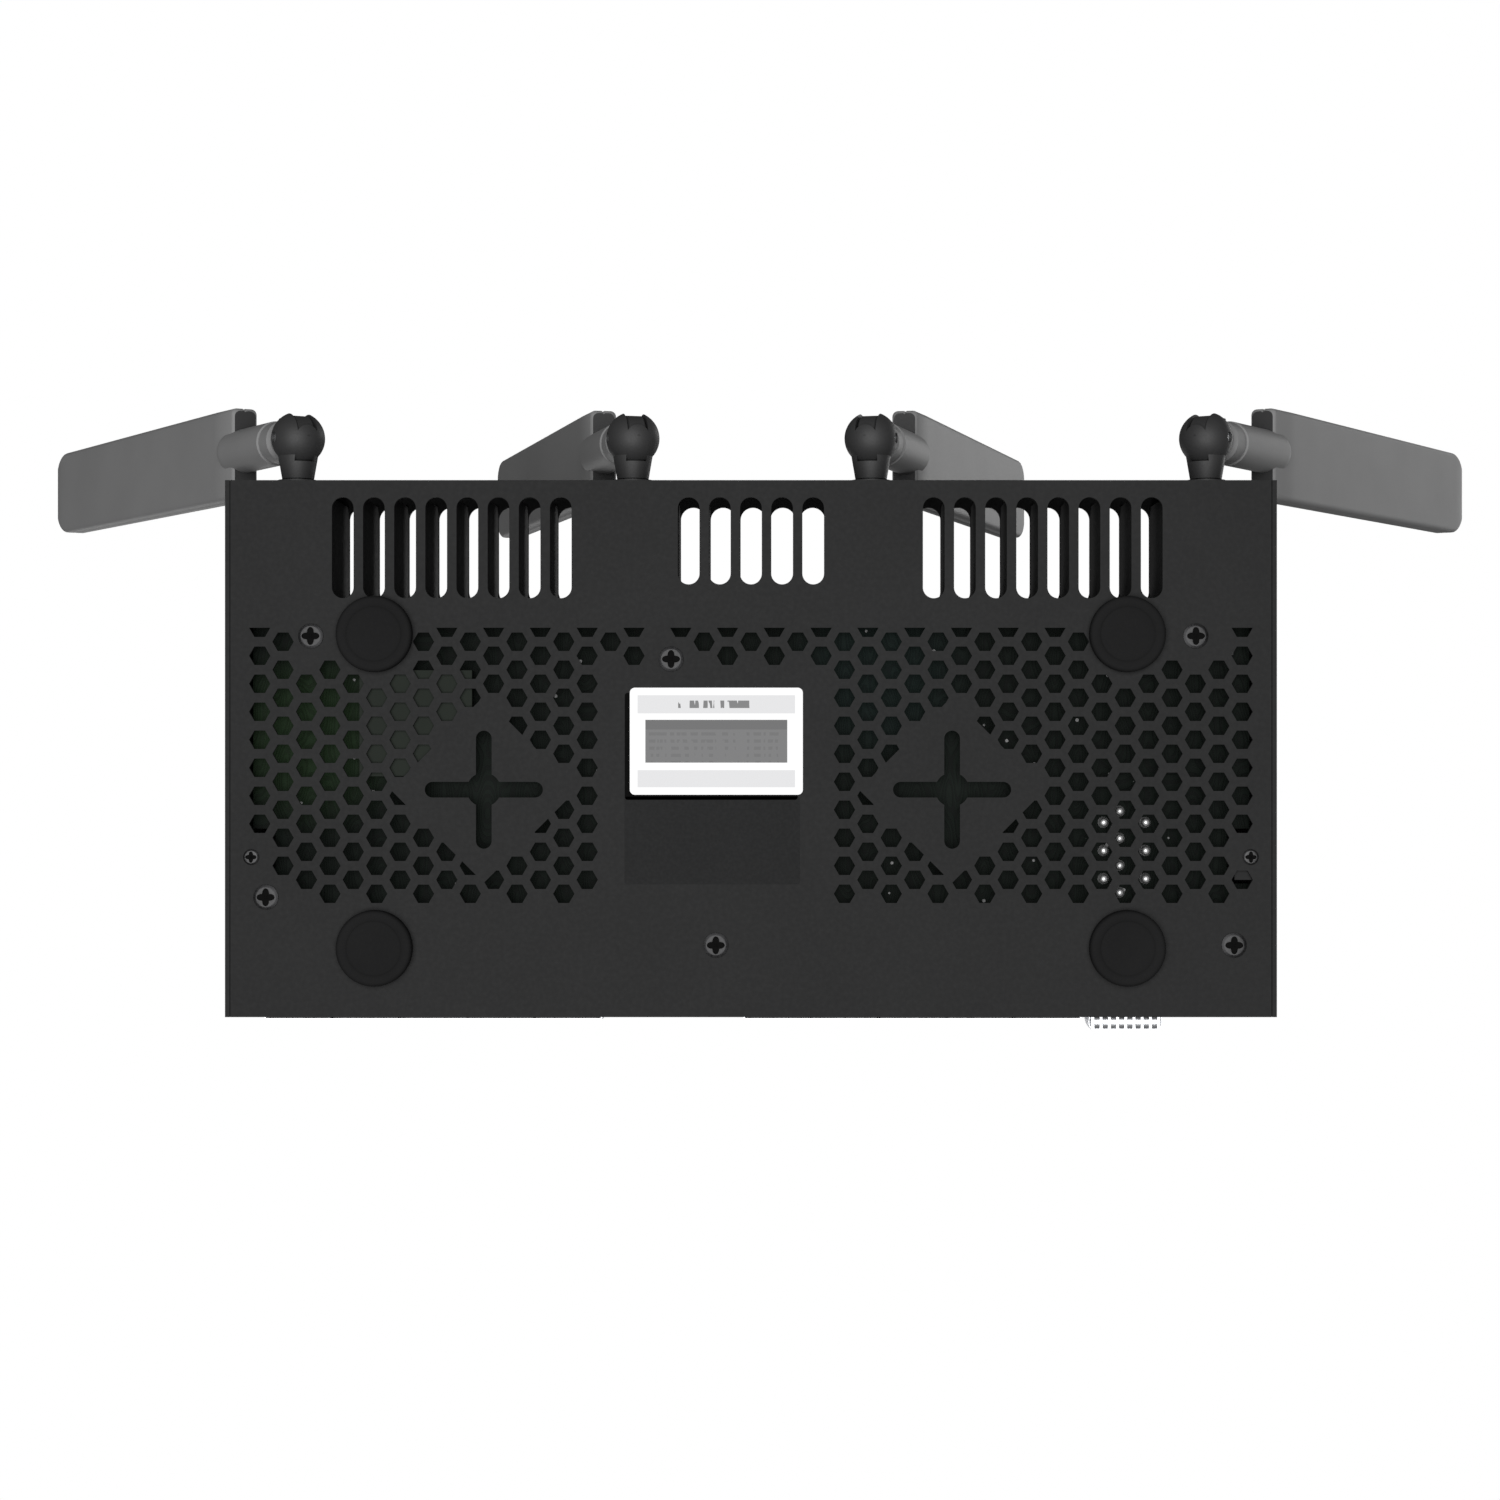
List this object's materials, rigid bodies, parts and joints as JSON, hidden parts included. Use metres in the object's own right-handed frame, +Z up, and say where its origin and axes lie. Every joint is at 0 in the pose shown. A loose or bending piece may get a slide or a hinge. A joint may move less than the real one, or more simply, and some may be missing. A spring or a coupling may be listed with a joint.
{
  "type": "wireless router",
  "caption": "Desktop wireless router in a vented sheet-metal case, with network sockets, a fibre module cage and folding paddle antennas along the rear edge.",
  "frame": {"origin": "on the surface under the feet, at the middle of the outline that takes in the antennas and the fibre cage's lip", "axes": "+X to the right seen from the front, +Y from the front towards the antennas, +Z up"},
  "size_m": [0.3776, 0.1402, 0.168],
  "materials": {
    "case_paint": "matte charcoal powder coat",
    "foot_rubber": "soft matte black",
    "label_paper": null,
    "screw_steel": "nickel plated",
    "spacer_brass": "plain brass",
    "board_green": "solder mask over glass fibre",
    "shield_tin": "bright tin plate",
    "socket_plastic": "moulded black",
    "contact_gold": "gold plated",
    "button_plastic": "moulded dark grey",
    "clear_plastic": "clear light guide",
    "light_lens": "light chip lens",
    "chip_black": "moulded chip body",
    "sink_aluminium": "anodised",
    "pad_silicone": "grey-green silicone",
    "capacitor_sleeve": "shrink sleeve",
    "coil_ferrite": "pressed ferrite",
    "lead_jacket": "thin coaxial lead",
    "hinge_plastic": "moulded charcoal",
    "antenna_plastic": "fine-textured grey"
  },
  "bodies": {
    "case": {"bottom_tray": "case_paint", "top_cover": "case_paint", "base_screws": "screw_steel", "cover_screws": "screw_steel", "rubber_feet": "foot_rubber", "rating_label": "label_paper", "main_board": "board_green", "board_spacers": "spacer_brass", "board_screws": "screw_steel", "vent_vanes": "case_paint", "left_socket_bodies": "socket_plastic", "right_socket_bodies": "socket_plastic", "socket_shields": "shield_tin", "socket_contacts": "contact_gold", "fibre_cage": "shield_tin", "fibre_connector": "socket_plastic", "power_jack": "socket_plastic", "power_pin": "screw_steel", "reset_switch": "socket_plastic", "light_guide": "clear_plastic", "status_lights": "light_lens", "processor": "chip_black", "heat_sink": "sink_aluminium", "thermal_pad": "pad_silicone", "memory_chips": "chip_black", "switch_chip": "chip_black", "transformer_modules": "chip_black", "capacitors": "capacitor_sleeve", "power_coils": "coil_ferrite", "radio_shield": "shield_tin", "antenna_nuts": "spacer_brass", "antenna_lead_1": "lead_jacket", "antenna_lead_2": "lead_jacket", "antenna_lead_3": "lead_jacket", "antenna_lead_4": "lead_jacket", "antenna_base_1": "hinge_plastic", "antenna_base_2": "hinge_plastic", "antenna_base_3": "hinge_plastic", "antenna_base_4": "hinge_plastic"},
    "reset_button": {"reset_button": "button_plastic"},
    "knuckle_1": {"antenna_knuckle_1": "hinge_plastic", "hinge_pin_1": "screw_steel"},
    "antenna_1": {"antenna_arm_1": "antenna_plastic", "antenna_sleeve_1": "antenna_plastic", "antenna_radiator_1": "board_green"},
    "knuckle_2": {"antenna_knuckle_2": "hinge_plastic", "hinge_pin_2": "screw_steel"},
    "antenna_2": {"antenna_arm_2": "antenna_plastic", "antenna_sleeve_2": "antenna_plastic", "antenna_radiator_2": "board_green"},
    "knuckle_3": {"antenna_knuckle_3": "hinge_plastic", "hinge_pin_3": "screw_steel"},
    "antenna_3": {"antenna_arm_3": "antenna_plastic", "antenna_sleeve_3": "antenna_plastic", "antenna_radiator_3": "board_green"},
    "knuckle_4": {"antenna_knuckle_4": "hinge_plastic", "hinge_pin_4": "screw_steel"},
    "antenna_4": {"antenna_arm_4": "antenna_plastic", "antenna_sleeve_4": "antenna_plastic", "antenna_radiator_4": "board_green"}
  },
  "joints": [
    {"name": "reset_press", "type": "slide", "parent": "case", "child": "reset_button", "axis": [0, 1, 0], "range_m": [0, 0.0008], "stiffness_N_per_m": 900, "springref_m": -0.0006},
    {"name": "swivel_1", "type": "hinge", "parent": "case", "child": "knuckle_1", "pos_m": [-0.1006, 0.0602, 0.01625], "axis": [0, 1, 0], "range_deg": [-57, 33]},
    {"name": "fold_1", "type": "hinge", "parent": "knuckle_1", "child": "antenna_1", "pos_m": [-0.1006, 0.0602, 0.01625], "axis": [-0.8387, 0, -0.5446], "range_deg": [0, 90]},
    {"name": "swivel_2", "type": "hinge", "parent": "case", "child": "knuckle_2", "pos_m": [-0.0264, 0.0602, 0.01625], "axis": [0, 1, 0], "range_deg": [-9, 22]},
    {"name": "fold_2", "type": "hinge", "parent": "knuckle_2", "child": "antenna_2", "pos_m": [-0.0264, 0.0602, 0.01625], "axis": [-0.9613, 0, -0.2756], "range_deg": [0, 90]},
    {"name": "swivel_3", "type": "hinge", "parent": "case", "child": "knuckle_3", "pos_m": [0.0264, 0.0602, 0.01625], "axis": [0, 1, 0], "range_deg": [-22, 9]},
    {"name": "fold_3", "type": "hinge", "parent": "knuckle_3", "child": "antenna_3", "pos_m": [0.0264, 0.0602, 0.01625], "axis": [-0.9613, 0, 0.2756], "range_deg": [0, 90]},
    {"name": "swivel_4", "type": "hinge", "parent": "case", "child": "knuckle_4", "pos_m": [0.1006, 0.0602, 0.01625], "axis": [0, 1, 0], "range_deg": [-33, 57]},
    {"name": "fold_4", "type": "hinge", "parent": "knuckle_4", "child": "antenna_4", "pos_m": [0.1006, 0.0602, 0.01625], "axis": [-0.8387, 0, 0.5446], "range_deg": [0, 90]}
  ]
}
